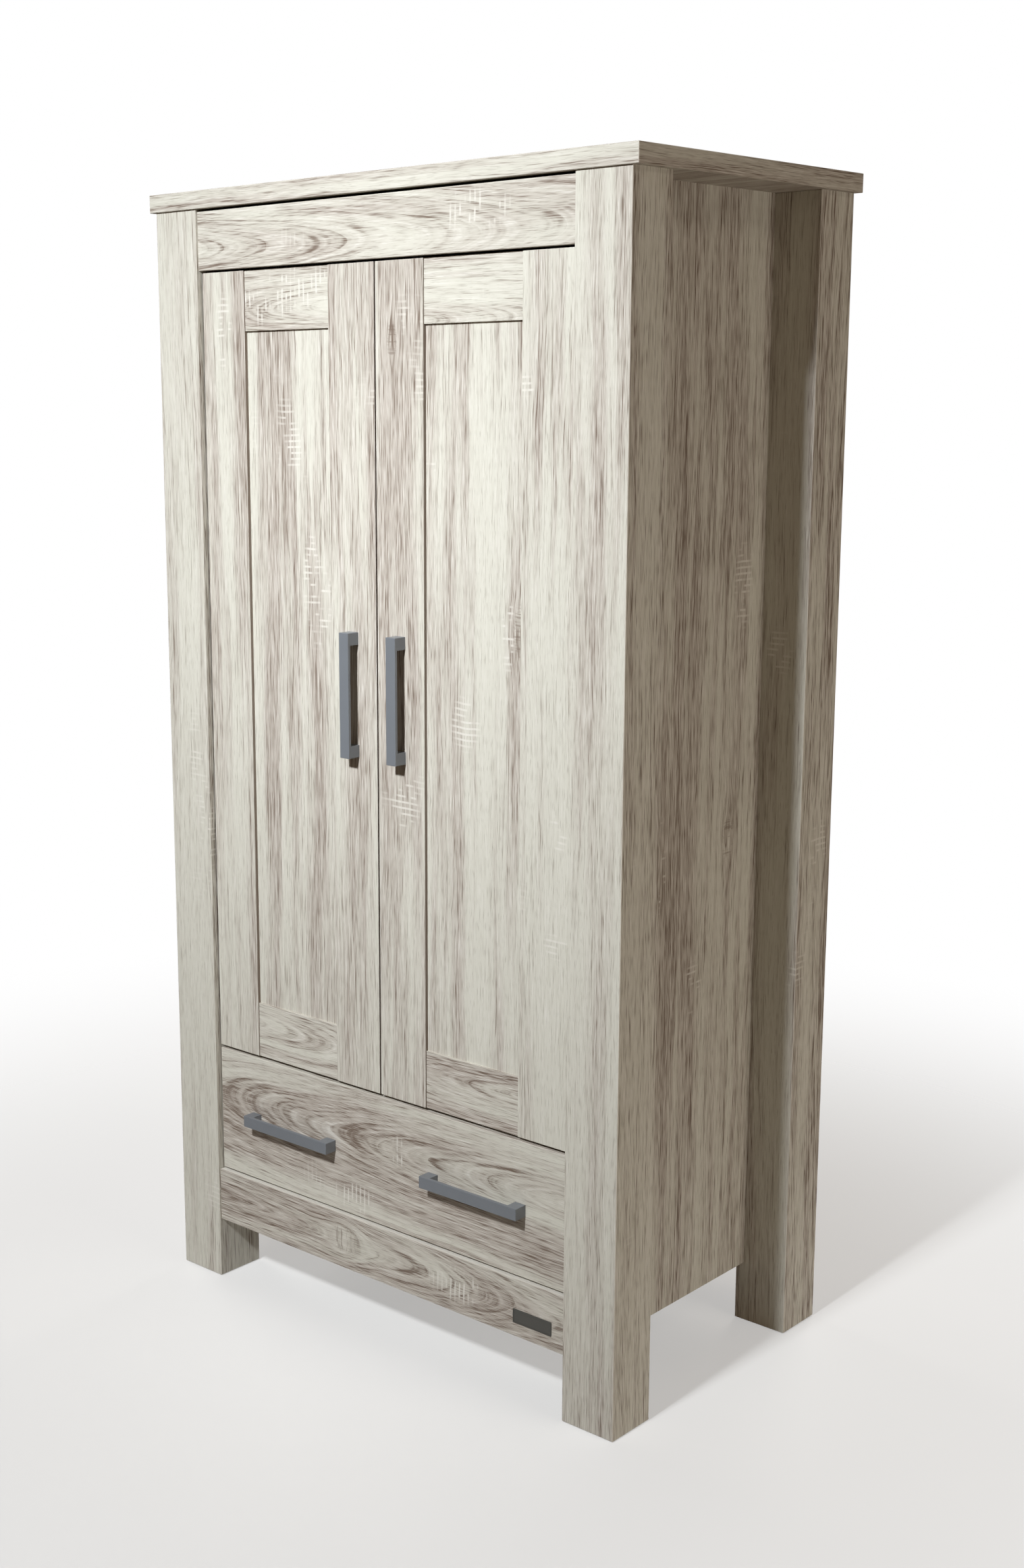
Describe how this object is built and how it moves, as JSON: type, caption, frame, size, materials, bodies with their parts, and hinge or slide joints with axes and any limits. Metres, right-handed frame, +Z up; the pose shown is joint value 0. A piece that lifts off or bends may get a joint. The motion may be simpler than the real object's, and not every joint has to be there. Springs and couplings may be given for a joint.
{
  "type": "wardrobe",
  "caption": "Free-standing wardrobe with heavy corner posts, hinged frame-and-panel doors with slim bar handles, a full-width drawer below, an upper shelf and a hanging rail.",
  "frame": {"origin": "on the floor, under the middle of the overall box", "axes": "+X to the right of a person facing the doors, -Y to the front, +Z up"},
  "size_m": [1, 0.6, 1.9],
  "materials": {
    "oak_foil": "matt washed-oak foil with a fine embossed grain",
    "inner_board": "pale matt melamine with a faint grain",
    "thin_board": "printed hardboard, matt",
    "white_plastic": "matt",
    "rail_chrome": "polished plating",
    "badge_metal": "dark satin pewter",
    "bare_wood": "unfinished beech and pine",
    "plated_steel": "bright nickel plating",
    "runner_steel": "zinc-plated, satin",
    "die_cast_zinc": "bare die-cast, satin",
    "handle_metal": "satin grey lacquer"
  },
  "bodies": {
    "carcass": {"top_panel": "oak_foil", "front_left_post": "oak_foil", "front_right_post": "oak_foil", "rear_left_post": "oak_foil", "rear_right_post": "oak_foil", "top_rail": "oak_foil", "bottom_rail": "oak_foil", "left_side_panel": "oak_foil", "right_side_panel": "oak_foil", "rear_top_rail": "inner_board", "rear_bottom_rail": "inner_board", "cupboard_floor": "inner_board", "bottom_panel": "inner_board", "upper_shelf": "inner_board", "left_back_panel": "thin_board", "right_back_panel": "thin_board", "back_joining_strip": "white_plastic", "foot_glides": "white_plastic", "door_bumpers": "white_plastic", "hanging_rail": "rail_chrome", "rail_sockets": "rail_chrome", "badge_plate": "badge_metal", "post_end_blocks": "bare_wood", "carcass_dowels": "bare_wood", "shelf_pins": "plated_steel", "carcass_screws": "plated_steel", "hinge_arms": "plated_steel", "outer_runners": "runner_steel", "cam_fittings": "die_cast_zinc", "hinge_plates": "die_cast_zinc"},
    "left_door": {"left_hinge_stile": "oak_foil", "left_lock_stile": "oak_foil", "left_door_top_rail": "oak_foil", "left_door_bottom_rail": "oak_foil", "left_door_panel": "oak_foil", "left_door_handle": "handle_metal", "left_door_screws": "plated_steel", "left_hinge_cups": "plated_steel", "left_hinge_pins": "plated_steel"},
    "right_door": {"right_hinge_stile": "oak_foil", "right_lock_stile": "oak_foil", "right_door_top_rail": "oak_foil", "right_door_bottom_rail": "oak_foil", "right_door_panel": "oak_foil", "right_door_handle": "handle_metal", "right_door_screws": "plated_steel", "right_hinge_cups": "plated_steel", "right_hinge_pins": "plated_steel"},
    "drawer": {"drawer_front": "oak_foil", "drawer_left_side": "inner_board", "drawer_right_side": "inner_board", "drawer_back": "inner_board", "drawer_base": "thin_board", "drawer_left_handle": "handle_metal", "drawer_right_handle": "handle_metal", "inner_runners": "runner_steel", "drawer_screws": "plated_steel"},
    "left_middle_member": {"left_middle_runner": "runner_steel"},
    "right_middle_member": {"right_middle_runner": "runner_steel"}
  },
  "joints": [
    {"name": "left_door_hinge", "type": "hinge", "parent": "carcass", "child": "left_door", "pos_m": [-0.3735, -0.2675, 1.1045], "axis": [0, 0, -1], "range_deg": [0, 105]},
    {"name": "right_door_hinge", "type": "hinge", "parent": "carcass", "child": "right_door", "pos_m": [0.3735, -0.2675, 1.1045], "axis": [0, 0, 1], "range_deg": [0, 105]},
    {"name": "drawer_slide", "type": "slide", "parent": "carcass", "child": "drawer", "axis": [0, -1, 0], "range_m": [0, 0.4]},
    {"name": "left_middle_slide", "type": "slide", "parent": "carcass", "child": "left_middle_member", "axis": [0, -1, 0], "range_m": [0, 0.2]},
    {"name": "right_middle_slide", "type": "slide", "parent": "carcass", "child": "right_middle_member", "axis": [0, -1, 0], "range_m": [0, 0.2]}
  ],
  "couplings": [
    {"joint": "left_middle_slide", "follows": "drawer_slide", "ratio": 0.5},
    {"joint": "right_middle_slide", "follows": "drawer_slide", "ratio": 0.5}
  ]
}
